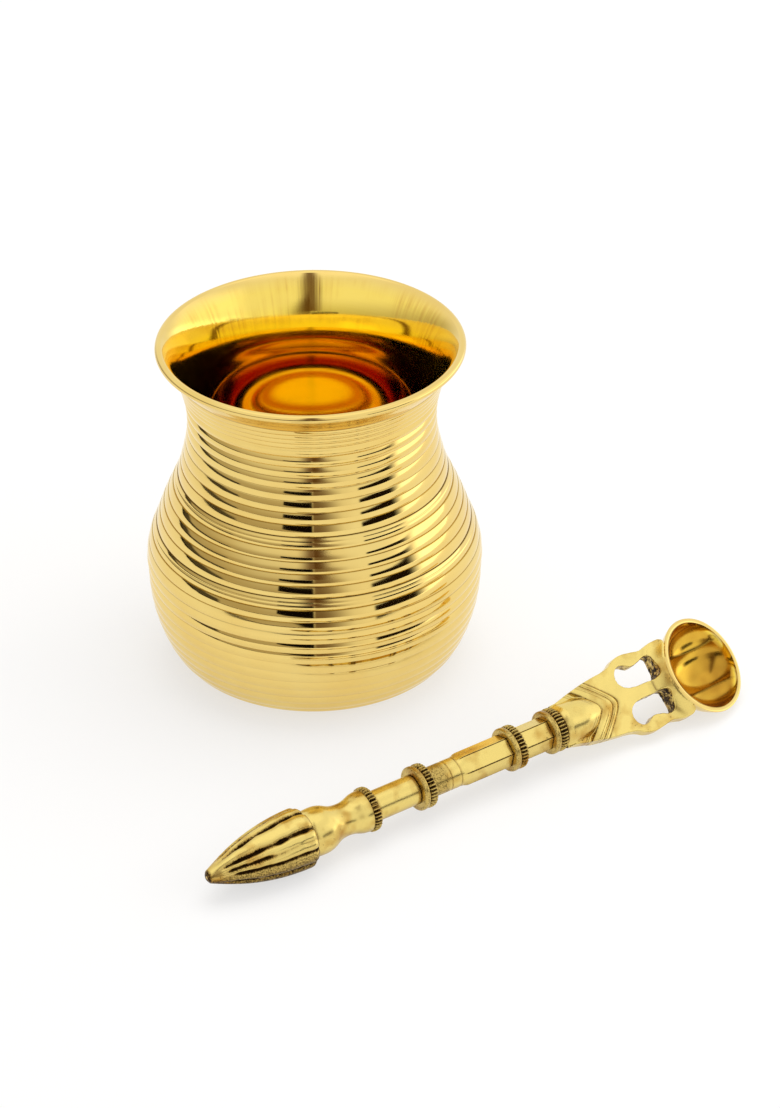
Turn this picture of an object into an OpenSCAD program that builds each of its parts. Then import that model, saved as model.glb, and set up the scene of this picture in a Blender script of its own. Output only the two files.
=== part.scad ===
// Panchpatra: a ribbed brass water pot for ritual use, with its achamani spoon lying beside it.
// The pot stands on the origin with +Z up. The spoon lies in front of it, on the same surface.

/* [Pot outline] */
// Diameter of the mouth over the rolled lip
mouth_d = 72; // [60:0.5:84]
// Height of the pot
pot_h = 83; // [74:0.5:94]
// Diameter of the belly over the ribs
belly_d = 79.5; // [70:0.5:90]
// Height of the widest part of the belly
belly_z = 26.5; // [20:0.5:32]
// Diameter of the neck over the ribs
neck_d = 58; // [48:0.5:64]
// Height of the narrowest part of the neck
neck_z = 64.5; // [58:0.5:68]
// Diameter of the ring that the pot stands on
base_d = 55; // [46:0.5:62]

/* [Pot fullness] */
// Rise of the base corner as it leaves the floor, in degrees
base_angle = 7; // [3:0.5:20]
// Reach of the base corner
base_reach = 11; // [8:0.5:13]
// Fullness of the belly under its widest part
belly_under = 6; // [4:0.5:10]
// Fullness of the belly above its widest part
belly_over = 11; // [8:0.5:14]
// Length over which the shoulder runs into the neck
neck_under = 15.5; // [11:0.5:18]
// Length over which the neck opens into the flare
neck_over = 6; // [3:0.5:8]
// Lean of the flare at the lip, from upright, in degrees
flare_angle = 45; // [35:1:55]
// Reach of the flare under the lip
flare_reach = 5; // [3:0.5:7]

/* [Pot sheet] */
// Thickness of the spun sheet at the bottom of a groove
sheet = 0.9; // [0.7:0.05:1.4]
// Radius of the rolled lip
lip_r = 0.8; // [0.7:0.05:1.1]
// Spacing of the turned ribs along the outline
rib_pitch = 2.8; // [2.6:0.1:4]
// Depth of the grooves between the ribs
rib_depth = 0.28; // [0.15:0.01:0.4]
// Plain band under the lip
lip_plain = 6.2; // [4:0.1:8]
// Plain band at the base corner
base_plain = 4; // [2:0.1:6]
// Width of the standing ring
ring_w = 3; // [2:0.1:5]
// Rise of the pushed-up bottom
kick_h = 2; // [1:0.1:3.5]
// Diameter of the raised part of the bottom
kick_d = 38; // [28:0.5:44]

/* [Spoon handle] */
// Length of the fluted bud at the end of the handle
bud_len = 25.3; // [20:0.1:30]
// Diameter of the bud at its back edge
bud_d = 14; // [12:0.1:16]
// Diameter of the bud's blunt tip
bud_tip_d = 2.6; // [2:0.1:3.6]
// Number of flutes round the bud
flutes = 12; // [9:1:14]
// Radius of a flute
flute_r = 0.8; // [0.5:0.05:0.9]
// Length of the baluster grip
grip_len = 15.6; // [12:0.1:20]
// Diameter of the grip's bulb
bulb_d = 11; // [9.5:0.1:12.5]
// Diameter of the grip's waist
waist_d = 7.6; // [6.4:0.1:8.6]
// Diameter of the grip's flared end
flare_d = 9.6; // [8.8:0.1:10.4]
// Diameter of the plain round sleeve
round_d = 7; // [6:0.1:8]
// Length of the plain round sleeve
round_len = 11.4; // [8:0.1:16]
// Length of the sleeve with the engraved band
banded_len = 21.5; // [17:0.1:28]
// Length of the round, engraved end of that sleeve
band_len = 8; // [6:0.1:10]
// Length of the short six-sided sleeve
short_len = 7.7; // [5:0.1:12]
// Width of the six-sided sleeves across their flats
hex_w = 7; // [6:0.1:8]
// Depth of the lines turned round the band
line_depth = 0.2; // [0.1:0.05:0.3]

/* [Spoon rings] */
// Diameter of the rings on the handle
collar_d = 10.4; // [9.6:0.1:11.6]
// Width of a plain ring
bead_w = 1.5; // [1.2:0.1:2]
// Width of a knurled ring
knurl_w = 2.1; // [1.6:0.1:2.8]
// Number of cuts round a knurled ring
knurls = 30; // [20:1:36]
// Depth of a knurl cut
knurl_depth = 0.3; // [0.2:0.05:0.4]

/* [Spoon core] */
// Diameter of the rod that the handle is strung on
rod_d = 3; // [2.4:0.1:3.6]
// Depth of the rod in the bud
bud_socket = 12; // [8:0.5:14]
// Depth of the rod in the head
head_socket = 7; // [5:0.5:8]
// Clearance round the rod
rod_gap = 0.1; // [0.05:0.01:0.2]

/* [Spoon head] */
// Diameter of the head's boss where it meets the last ring
boss_d = 10; // [8.6:0.1:10.6]
// Length of the boss up to its pointed end
boss_len = 11; // [9.5:0.1:13]
// Length of the leaf under the boss, up to its pointed end
leaf_len = 15.6; // [14:0.1:17]
// Width of the leaf
leaf_w = 13.8; // [12:0.1:15]
// Thickness of the leaf along its middle
leaf_t = 6.2; // [5:0.1:7]
// Thickness of the pierced plate
plate_t = 3; // [2.4:0.1:3.6]
// Width of the plate over its scalloped edges
plate_w = 19.4; // [18:0.1:21]
// Distance from the boss's start to the windows
window_at = 19.2; // [18.2:0.1:20.2]
// Length of a window
window_len = 10.1; // [9:0.1:11]
// Width of a window
window_w = 5.8; // [5:0.1:6.4]
// Width of the bar between the windows
bar_w = 3.3; // [2.6:0.1:4]
// Distance from the windows to the bowl's wall
web = 1.9; // [1.6:0.1:3]

/* [Spoon bowl] */
// Diameter of the bowl over its rim
bowl_d = 23.8; // [21:0.1:26]
// Depth of the bowl outside
bowl_depth = 9.5; // [8:0.1:10.5]
// Thickness of the bowl's wall
bowl_wall = 1; // [0.8:0.05:1.3]
// Height of the rim's centre over the plate's middle
bowl_rise = 1.9; // [1:0.1:3]
// Lean of the rim away from the handle, in degrees
bowl_lean = 18; // [10:0.5:24]
// Radius of a lobe inside the bowl
lobe_r = 7; // [6:0.1:8]
// Angle between neighbouring lobes, in degrees
lobe_angle = 56; // [40:1:58]
// Clearance of the brazed seam between the plate and the bowl
seam = 0.05; // [0.02:0.01:0.12]

/* [Spoon place] */
// Turn of the spoon from the X axis, in degrees
spoon_turn = 34.3; // [20:0.1:45]
// Place of the bud's back edge, along X
spoon_x = -1.5; // [-12:0.5:10]
// Place of the bud's back edge, along Y
spoon_y = -87.4; // [-110:0.1:-76]
// Height of the plate's lower edge over the floor
edge_lift = 0.9; // [0.3:0.05:1.5]

/* [Hidden] */
$fn = 96;
fine_fn = 24;
polished = "#e3c04f";
aged = "#c39a35";

// Points on a cubic curve with four handles
function curve(p, t) = pow(1 - t, 3) * p[0] + 3 * pow(1 - t, 2) * t * p[1]
    + 3 * (1 - t) * t * t * p[2] + pow(t, 3) * p[3];
function span(p, steps) = [for (i = [1:steps]) curve(p, i / steps)];
function unit(v) = v / norm(v);

// Outline of the pot over its ribs, from the base corner to the lip
span_steps = 24;
base_p = [base_d / 2, 0];
belly_p = [belly_d / 2, belly_z];
neck_p = [neck_d / 2, neck_z];
mouth_p = [mouth_d / 2 - lip_r, pot_h - lip_r];
under_belly = [base_p, base_p + base_reach * [cos(base_angle), sin(base_angle)],
    belly_p - [0, belly_under], belly_p];
shoulder = [belly_p, belly_p + [0, belly_over], neck_p - [0, neck_under], neck_p];
flare = [neck_p, neck_p + [0, neck_over],
    mouth_p - flare_reach * [sin(flare_angle), cos(flare_angle)], mouth_p];
outline = concat([base_p], span(under_belly, span_steps), span(shoulder, span_steps),
    span(flare, span_steps));

// Length along the outline up to each of its points, to space the ribs evenly
function lengths(p, i = 0, sum = 0) = i == len(p) - 1 ? [sum]
    : concat([sum], lengths(p, i + 1, sum + norm(p[i + 1] - p[i])));
run = lengths(outline);
run_end = run[len(run) - 1];
radius_at = [for (i = [0:len(run) - 1]) [run[i], outline[i].x]];
height_at = [for (i = [0:len(run) - 1]) [run[i], outline[i].y]];
function at(s) = [lookup(s, radius_at), lookup(s, height_at)];
slope_step = 0.4;
function out_of(s) = let (d = unit(at(min(s + slope_step, run_end)) - at(max(s - slope_step, 0))))
    [d.y, -d.x];

// Ribs: rounded bands with a sharp groove between each two
ribbed = run_end - lip_plain - base_plain;
ribs = round(ribbed / rib_pitch);
pitch = ribbed / ribs;
rib_steps = 5;
function groove(f) = rib_depth * pow(2 * f - 1, 2);
ribbed_side = [for (i = [0:ribs * rib_steps]) let (s = base_plain + i * pitch / rib_steps)
    at(s) - out_of(s) * groove((i % rib_steps) / rib_steps)];
corner_steps = 4;
base_side = [for (i = [0:corner_steps - 1]) at(i * base_plain / corner_steps)];
lip_side = [for (i = [1:corner_steps]) at(run_end - lip_plain * (1 - i / corner_steps))];

// Inside of the pot, one wall in from the outline
wall = sheet + rib_depth;
inner_steps = 48;
inner_start = wall;
inner_side = [for (i = [inner_steps:-1:0]) let (s = inner_start + i * (run_end - inner_start) / inner_steps)
    at(s) - out_of(s) * wall];
kick_r = kick_d / 2;
ring_in = base_d / 2 - ring_w;

module pot_shell() {
    color(polished)
        rotate_extrude() {
            polygon(concat([[0, kick_h], [kick_r, kick_h], [ring_in, 0]], base_side, ribbed_side, lip_side,
                inner_side, [[ring_in, wall], [kick_r, kick_h + wall], [0, kick_h + wall]]));
            translate(mouth_p)
                circle(r = lip_r);
        }
}

// Stations along the spoon, from the tip of the bud
grip_at = bud_len;
ring_1_at = grip_at + grip_len;
round_at = ring_1_at + knurl_w;
ring_2_at = round_at + round_len;
banded_at = ring_2_at + bead_w + knurl_w;
ring_3_at = banded_at + banded_len;
short_at = ring_3_at + bead_w + knurl_w;
ring_4_at = short_at + short_len;
head_at = ring_4_at + bead_w + knurl_w;
window_start = head_at + window_at;
window_end = window_start + window_len;
seat_at = window_end + web;

// Bowl: a ball cut off at the rim, which leans away from the handle
ball_r = (pow(bowl_d / 2, 2) + pow(bowl_depth, 2)) / (2 * bowl_depth);
ball_rise = ball_r - bowl_depth;
ball_n = bowl_rise + ball_rise * cos(bowl_lean);
ball_at = seat_at + sqrt(pow(ball_r, 2) - pow(ball_n, 2));

// The spoon rests on the bud's back edge and on the bowl, and leans over onto the plate's edge
edge_at = window_start + window_len / 3;
function pitch_for(roll) = let (a = bud_d / 2 + ball_n * cos(roll), l = ball_at - bud_len)
    asin(ball_r / norm([a, l])) - atan2(a, l);
function axis_height(s, roll) = bud_d / 2 * cos(pitch_for(roll)) + (s - bud_len) * sin(pitch_for(roll));
plate_reach = norm([plate_w, plate_t] / 2);
function roll_for(roll) = asin(min(1, (axis_height(edge_at, roll) - edge_lift) / plate_reach))
    - atan2(plate_t, plate_w);
function settle(roll, turns) = turns == 0 ? roll : settle(roll_for(roll), turns - 1);
first_roll = 40;
settle_turns = 6;
spoon_roll = settle(first_roll, settle_turns);
spoon_pitch = pitch_for(spoon_roll);

// Places a spoon piece that is drawn along X from the tip of the bud, with the plate's face up
module laid() {
    translate([spoon_x, spoon_y, bud_d / 2 * cos(spoon_pitch)])
        rotate([spoon_roll, -spoon_pitch, spoon_turn])
            translate([-bud_len, 0, 0])
                children();
}

// Turns a revolved piece, drawn along Z, onto the spoon's axis
module along(s = 0) {
    translate([s, 0, 0])
        rotate([0, 90, 0])
            children();
}

bore_d = rod_d + 2 * rod_gap;
over = 1;
module bore(length) {
    translate([0, 0, -over])
        cylinder(d = bore_d, h = length + 2 * over);
}

module core_rod() {
    color(aged)
        laid()
            along(bud_len - bud_socket + rod_gap)
                cylinder(d = rod_d, h = head_at + head_socket - bud_len + bud_socket - 2 * rod_gap);
}

// Bud: one arc from the blunt tip to a back edge, cut by flutes that deepen towards the back
bud_edge = 1.3;
bud_arc_len = bud_len - bud_edge;
bud_swell = (bud_d - bud_tip_d) / 2;
bud_arc_r = (pow(bud_arc_len, 2) + pow(bud_swell, 2)) / (2 * bud_swell);
bud_steps = 12;
function bud_r(s) = bud_d / 2 - bud_arc_r + sqrt(pow(bud_arc_r, 2) - pow(bud_arc_len - s, 2));
bud_side = [for (i = [0:bud_steps]) let (s = i * bud_arc_len / bud_steps) [bud_r(s), s]];
bud_back_r = bud_d / 2 - bud_edge / 3;
flute_lift = 0.15;
flute_swell = bud_swell - flute_r + flute_lift;
flute_arc_r = (pow(bud_arc_len, 2) + pow(flute_swell, 2)) / (2 * flute_swell);
flute_sweep = asin((bud_arc_len + over) / flute_arc_r);
module flute() {
    translate([bud_d / 2 - flute_arc_r + flute_lift, 0, bud_arc_len])
        rotate([90, 0, 0])
            rotate([0, 0, -flute_sweep])
                rotate_extrude(angle = 2 * flute_sweep)
                    translate([flute_arc_r, 0])
                        circle(r = flute_r, $fn = fine_fn);
}

module fluted_bud() {
    color(aged)
        laid()
            along()
                difference() {
                    rotate_extrude()
                        polygon(concat([[0, 0]], bud_side, [[bud_back_r, bud_len], [0, bud_len]]));
                    for (i = [0:flutes - 1])
                        rotate([0, 0, (i + 0.5) * 360 / flutes])
                            flute();
                    translate([0, 0, bud_len - bud_socket])
                        bore(bud_socket);
                }
}

// Grip: a bulb that draws in to a waist and opens again to the first ring
bulb_at = 3.1;
bulb_seat = 0.7;
flare_len = 5.6;
waist_at = grip_len - flare_len;
bulb_mid = (bulb_at + waist_at) / 2;
flare_mid = (waist_at + grip_len) / 2;
grip_steps = 10;
grip_bulb = [[bulb_d / 2 - bulb_seat, 0], [bulb_d / 2, bulb_at / 3], [bulb_d / 2, 2 * bulb_at / 3],
    [bulb_d / 2, bulb_at]];
grip_waist = [grip_bulb[3], [bulb_d / 2, bulb_mid], [waist_d / 2, bulb_mid], [waist_d / 2, waist_at]];
grip_flare = [grip_waist[3], [waist_d / 2, flare_mid], [flare_d / 2, flare_mid], [flare_d / 2, grip_len]];

module baluster_grip() {
    color(polished)
        laid()
            along(grip_at)
                difference() {
                    rotate_extrude()
                        polygon(concat([[0, 0], grip_bulb[0]], span(grip_bulb, grip_steps / 2),
                            span(grip_waist, grip_steps), span(grip_flare, grip_steps), [[0, grip_len]]));
                    bore(grip_len);
                }
}

// Rings: a half-round bead, plain or with cuts along the axis
module ring_body(width) {
    bulge = width / 2;
    difference() {
        rotate_extrude() {
            square([collar_d / 2 - bulge, width]);
            translate([collar_d / 2 - bulge, bulge])
                circle(r = bulge);
        }
        bore(width);
    }
}

// A cut with a square edge, on the ring's crest
knurl_side = knurl_depth * sqrt(2);
module knurl_cut() {
    translate([collar_d / 2, 0, knurl_w / 2])
        rotate([0, 0, 45])
            cube([knurl_side, knurl_side, knurl_w + over], center = true);
}

module knurled_ring(s) {
    color(aged)
        laid()
            along(s)
                difference() {
                    ring_body(knurl_w);
                    for (i = [0:knurls - 1])
                        rotate([0, 0, i * 360 / knurls])
                            knurl_cut();
                }
}

module plain_ring(s) {
    color(aged)
        laid()
            along(s)
                ring_body(bead_w);
}

module knurled_ring_1() {
    knurled_ring(ring_1_at);
}

module plain_ring_2() {
    plain_ring(ring_2_at);
}

module knurled_ring_2() {
    knurled_ring(ring_2_at + bead_w);
}

module plain_ring_3() {
    plain_ring(ring_3_at);
}

module knurled_ring_3() {
    knurled_ring(ring_3_at + bead_w);
}

module plain_ring_4() {
    plain_ring(ring_4_at);
}

module knurled_ring_4() {
    knurled_ring(ring_4_at + bead_w);
}

module round_sleeve() {
    color(polished)
        laid()
            along(round_at)
                difference() {
                    cylinder(d = round_d, h = round_len);
                    bore(round_len);
                }
}

// A six-sided bar with one flat towards the plate's face
module hex_bar(length) {
    rotate([0, 0, 30])
        cylinder(d = hex_w / cos(30), h = length, $fn = 6);
}

module turned_line(s) {
    translate([0, 0, s])
        rotate_extrude()
            translate([round_d / 2, 0])
                circle(r = line_depth, $fn = fine_fn);
}

line_inset = 0.4;
line_space = 2.8;
module banded_hex_sleeve() {
    color(polished)
        laid()
            along(banded_at)
                difference() {
                    union() {
                        cylinder(d = round_d, h = band_len);
                        translate([0, 0, band_len])
                            hex_bar(banded_len - band_len);
                    }
                    turned_line(band_len - line_inset);
                    turned_line(band_len - line_inset - line_space);
                    bore(banded_len);
                }
}

module short_hex_sleeve() {
    color(polished)
        laid()
            along(short_at)
                difference() {
                    hex_bar(short_len);
                    bore(short_len);
                }
}

// Head: a domed boss over a pointed leaf over a pierced plate with scalloped edges
boss_end_d = 7.6;
boss_swell = 0.25;
boss_steps = 8;
boss_side = [[boss_d / 2, 0], [boss_d / 2 + boss_swell, boss_len / 3], [boss_d / 2, 2 * boss_len / 3],
    [boss_end_d / 2, boss_len]];
boss_point = 5.6;
point_at = boss_len - boss_point;
leaf_start = 2;
leaf_point = 4.6;
leaf_step = 0.2;
leaf_dome = (leaf_t - plate_t) / 2 - leaf_step;
leaf_arc_r = (pow(leaf_w / 2, 2) + pow(leaf_dome, 2)) / (2 * leaf_dome);
shoulder_w = 14.6;
shoulder_at = 12.6;
root_step = 0.5;
root_w = boss_d - 2 * root_step;
lobe_1_r = 5.5;
lobe_1_at = edge_at - head_at;
lobe_2_r = 4;
lobe_2_past = 0.6;
lobe_2_at = seat_at - head_at + lobe_2_past;
edge_dip = 0.9;
waist_w = plate_w - 2 * edge_dip;

module plate_outline() {
    polygon([[leaf_start, -root_w / 2], [shoulder_at, -shoulder_w / 2], [lobe_1_at, -waist_w / 2],
        [ball_at - head_at, -waist_w / 2], [ball_at - head_at, waist_w / 2], [lobe_1_at, waist_w / 2],
        [shoulder_at, shoulder_w / 2], [leaf_start, root_w / 2]]);
    for (side = [-1, 1]) {
        translate([lobe_1_at, side * (plate_w / 2 - lobe_1_r)])
            circle(r = lobe_1_r);
        translate([lobe_2_at, side * (plate_w / 2 - lobe_2_r)])
            circle(r = lobe_2_r);
    }
}

// A window: a round end towards the handle, and a mouth that widens towards the bowl
module window_outline() {
    round_r = window_w / 2;
    notch = 0.9;
    notch_at = window_at + 1.6 * round_r;
    widen = 0.3;
    translate([window_at + round_r, bar_w / 2 + round_r])
        circle(r = round_r);
    polygon([[window_at + round_r, bar_w / 2], [window_at + window_len, bar_w / 2],
        [window_at + window_len, bar_w / 2 + window_w + widen], [notch_at, bar_w / 2 + window_w - notch],
        [window_at + round_r, bar_w / 2 + round_r]]);
}

module pierced_head() {
    color(polished)
        laid()
            difference() {
                translate([head_at, 0, 0])
                    head_body();
                translate([ball_at, 0, ball_n])
                    sphere(r = ball_r + seam);
                along(head_at - over)
                    cylinder(d = bore_d, h = head_socket + over);
            }
}

// The leaf: a pointed outline, domed on both faces
module leaf_body() {
    intersection() {
        linear_extrude(leaf_t, center = true)
            polygon([[leaf_start, -root_w / 2], [leaf_len - leaf_point, -leaf_w / 2], [leaf_len, 0],
                [leaf_len - leaf_point, leaf_w / 2], [leaf_start, root_w / 2]]);
        leaf_face(-1);
        leaf_face(1);
    }
}

module leaf_face(side) {
    translate([0, 0, side * (leaf_t / 2 - leaf_arc_r)])
        along(leaf_start - over)
            cylinder(r = leaf_arc_r, h = leaf_len);
}

module pierced_outline() {
    difference() {
        plate_outline();
        window_outline();
        mirror([0, 1])
            window_outline();
    }
}

// The plate's end, which ramps up to the bowl's rim
ramp_len = 2.8;
ramp_h = 2.6;
module rim_ramp() {
    intersection() {
        linear_extrude(plate_t / 2 + ramp_h)
            pierced_outline();
        translate([ball_at - head_at, 0, plate_t / 2])
            cylinder(r1 = ball_r + ramp_len, r2 = ball_r, h = ramp_h);
    }
}

module head_body() {
    linear_extrude(plate_t, center = true)
        pierced_outline();
    rim_ramp();
    leaf_body();
    intersection() {
        along()
            rotate_extrude()
                polygon(concat([[0, 0], boss_side[0]], span(boss_side, boss_steps), [[0, boss_len]]));
        linear_extrude(2 * boss_d, center = true)
            polygon([[0, -boss_d], [point_at, -boss_d], [point_at, -boss_d / 2], [boss_len, 0],
                [point_at, boss_d / 2], [point_at, boss_d], [0, boss_d]]);
    }
}

// Bowl: a cut ball, hollowed by lobes that run from the handle to the far rim
module lobed_hollow() {
    inner_r = ball_r - bowl_wall;
    lobe_out = inner_r - lobe_r;
    rotate([90, 0, 0])
        rotate_extrude()
            intersection() {
                union() {
                    for (i = [-1:1])
                        translate(lobe_out * [cos(i * lobe_angle), sin(i * lobe_angle)])
                            circle(r = lobe_r);
                    polygon([[0, -lobe_out], [lobe_out, 0], [0, lobe_out]]);
                }
                translate([0, -inner_r])
                    square([inner_r, 2 * inner_r]);
            }
}

module spoon_bowl() {
    color(polished)
        laid()
            translate([ball_at, 0, ball_n])
                rotate([0, bowl_lean, 0])
                    difference() {
                        sphere(r = ball_r);
                        lobed_hollow();
                        translate([-bowl_d, -bowl_d, -ball_rise])
                            cube([2 * bowl_d, 2 * bowl_d, 2 * bowl_d]);
                    }
}

pot_shell();
core_rod();
fluted_bud();
baluster_grip();
knurled_ring_1();
round_sleeve();
plain_ring_2();
knurled_ring_2();
banded_hex_sleeve();
plain_ring_3();
knurled_ring_3();
short_hex_sleeve();
plain_ring_4();
knurled_ring_4();
pierced_head();
spoon_bowl();
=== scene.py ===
import random
from bisect import bisect
from math import acos, asin, atan2, ceil, cos, degrees, exp, floor, hypot, pi, radians, sin, sqrt, tan

import bmesh
import bpy
from mathutils import Matrix, Vector, noise


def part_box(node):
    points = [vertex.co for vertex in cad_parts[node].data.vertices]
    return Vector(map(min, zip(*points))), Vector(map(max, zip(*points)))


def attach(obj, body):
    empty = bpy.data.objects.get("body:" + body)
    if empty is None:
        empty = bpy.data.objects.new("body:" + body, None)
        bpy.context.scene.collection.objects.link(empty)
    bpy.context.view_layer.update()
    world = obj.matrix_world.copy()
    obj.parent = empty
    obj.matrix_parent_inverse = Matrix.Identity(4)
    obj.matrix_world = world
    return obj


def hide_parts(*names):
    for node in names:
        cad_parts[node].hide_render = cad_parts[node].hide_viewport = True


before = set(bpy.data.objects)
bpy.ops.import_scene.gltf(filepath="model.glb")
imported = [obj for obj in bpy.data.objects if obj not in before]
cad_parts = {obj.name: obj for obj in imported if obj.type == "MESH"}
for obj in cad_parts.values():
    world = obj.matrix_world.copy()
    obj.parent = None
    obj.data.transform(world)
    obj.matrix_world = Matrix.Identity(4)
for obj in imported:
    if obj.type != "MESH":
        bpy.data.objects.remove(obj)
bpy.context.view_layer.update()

mm = 0.001
scene = bpy.context.scene
scene.view_settings.view_transform = "Standard"


# Colours and nodes

def linear(hexColour):
    parts = [int(hexColour[i:i + 2], 16) / 255 for i in (1, 3, 5)]
    return [p / 12.92 if p <= 0.04045 else ((p + 0.055) / 1.055) ** 2.4 for p in parts] + [1]


def addNode(tree, kind, inputs=None, **settings):
    node = tree.nodes.new(kind)
    for name, value in settings.items():
        setattr(node, name, value)
    for name, value in (inputs or {}).items():
        if isinstance(value, bpy.types.NodeSocket):
            tree.links.new(value, node.inputs[name])
        else:
            node.inputs[name].default_value = value
    return node


def newMaterial(name):
    material = bpy.data.materials.new(name)
    material.use_nodes = True
    return material, material.node_tree, material.node_tree.nodes["Principled BSDF"]


def wireMetal(tree, shader, colour, dull, bump):
    shader.inputs["Metallic"].default_value = 1
    for socket, name in ((colour, "Base Color"), (dull, "Roughness"), (bump, "Normal")):
        tree.links.new(socket, shader.inputs[name])


# Spun brass sheet, buffed on the lathe: a yellow mirror, with faint turning lines, dull smears, painted brown shade
# in the grooves
brassSheet = {
    "colour": "#f1d888",
    "warm": "#e8c46c",           # where the buff left a little more colour
    "inside": "#ffe255",         # warmer inside, where the gold lacquer is thicker
    "redTintAndShade": "#bd4e0a",          # red-brown painted shade, standing in for the dim reddish light deep in the belly; in the bowl it also tints the whole hollow
    "brushed": "#d9ae52",        # the darker ones of the cloth's upright marks on the flare
    # Dark brown through the recess mask: mostly painted shade, in the grooves, on the bottom's ring and in the bowl;
    # a little tarnish on the bowl's rim
    "tarnishAndShade": "#3a2206",
    "roughness": 0.045,
    "satin": 0.035,              # added roughness inside, where the buff doesn't reach well
    "smear": 0.06,               # added roughness in the dull smears
    "smearSize": 14,             # mm
    "smearRange": (0.45, 0.75),  # levels of the noise where a smear starts and where it is full
    "lineSpacing": 0.5,          # mm, turning lines, drawn coarser than the real ones so that they show
    "lineDepth": 0.003,          # mm
    "lineStretch": 0.02,         # scale of their pattern sideways, which draws it out round the pot
    "streakWidth": 0.9,          # mm
    "streakDepth": 0.011,        # mm
    "streakRange": (0.4, 0.7),
    "bunchRange": (0.42, 0.62),  # the marks come in bunches
    "mouthRadius": 30,           # mm, where the streaks have that width
}


def spunBrass():
    look = brassSheet
    material, tree, shader = newMaterial("spunBrass")
    place = addNode(tree, "ShaderNodeTexCoord").outputs["Object"]
    recess, satin, redTintAndShade, brushed = (
        addNode(tree, "ShaderNodeAttribute", attribute_name=name).outputs["Fac"]
        for name in ("recess", "satin", "redTintAndShade", "brushed"))
    smear = addNode(tree, "ShaderNodeTexNoise", {
        "Vector": place, "Scale": 1 / (look["smearSize"] * mm), "Detail": 3}).outputs["Fac"]
    sideways = look["lineStretch"]
    rings = addNode(tree, "ShaderNodeMapping", {
        "Vector": place, "Scale": (sideways, sideways, 1)}).outputs["Vector"]
    lines = addNode(tree, "ShaderNodeTexNoise", {
        "Vector": rings, "Scale": 1 / (look["lineSpacing"] * mm), "Detail": 2}).outputs["Fac"]
    # The streaks change only with the direction from the pot's axis
    flat = addNode(tree, "ShaderNodeVectorMath", {0: place, 1: (1, 1, 0)}, operation="MULTIPLY").outputs[0]
    around = addNode(tree, "ShaderNodeVectorMath", {0: flat}, operation="NORMALIZE").outputs[0]
    streaks = addNode(tree, "ShaderNodeTexNoise", {
        "Vector": around, "Scale": look["mouthRadius"] / look["streakWidth"], "Detail": 2}).outputs["Fac"]
    marks, bunched = (
        addNode(tree, "ShaderNodeMapRange", {
            "Value": value, "From Min": look[limits][0], "From Max": look[limits][1]}).outputs["Result"]
        for value, limits in ((streaks, "streakRange"), (smear, "bunchRange")))
    brushed = addNode(tree, "ShaderNodeMath", {0: brushed, 1: bunched}, operation="MULTIPLY").outputs[0]
    marks = addNode(tree, "ShaderNodeMath", {0: marks, 1: brushed}, operation="MULTIPLY").outputs[0]
    # Each colour lies over the ones before it
    colour = linear(look["colour"])
    layers = ((smear, "warm"), (satin, "inside"), (redTintAndShade, "redTintAndShade"), (marks, "brushed"), (recess, "tarnishAndShade"))
    for share, tone in layers:
        colour = addNode(tree, "ShaderNodeMix", {
            "Factor": share, "A": colour, "B": linear(look[tone])}, data_type="RGBA").outputs[2]
    dull = addNode(tree, "ShaderNodeMapRange", {
        "Value": smear, "From Min": look["smearRange"][0], "From Max": look["smearRange"][1],
        "To Min": look["roughness"], "To Max": look["roughness"] + look["smear"]}).outputs["Result"]
    dull = addNode(tree, "ShaderNodeMath", {0: satin, 1: look["satin"], 2: dull}, operation="MULTIPLY_ADD").outputs[0]
    bump = addNode(tree, "ShaderNodeBump", {
        "Height": lines, "Strength": 1, "Distance": look["lineDepth"] * mm}).outputs["Normal"]
    bump = addNode(tree, "ShaderNodeBump", {
        "Height": marks, "Strength": 1, "Distance": look["streakDepth"] * mm, "Normal": bump}).outputs["Normal"]
    wireMetal(tree, shader, colour, dull, bump)
    return material


# Sand-cast brass, buffed on its high places: bright yellow crests, small casting pits, dark tarnish and painted shade
# in the recesses and underneath
brassCast = {
    "colour": "#e9d079",
    "ochre": "#bb8d38",          # duller patches that the buff missed
    "brown": "#8a5a18",          # thin tarnish, and painted shade from the recess mask
    "tarnishAndShade": "#2a1905",        # thick tarnish, and deep painted shade
    "roughness": 0.24,
    "dull": 0.5,                 # roughness of the tarnish and painted shade
    "pitSize": 0.6,              # mm
    "pitRange": (0.66, 0.74),    # levels of the noise where a pit starts and where it is full
    "grainSize": 0.35,           # mm, the sand's grain
    "grainDepth": 0.04,          # mm
    "waveSize": 5,               # mm, the hand-filed unevenness
    "waveDepth": 0.03,           # mm
    "patchRange": (0.5, 0.78),
    "edgeBreak": 1.1,            # how far the grain breaks up the edge of the tarnish and painted shade
    "edgeRange": (0.36, 0.74),
}


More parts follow.
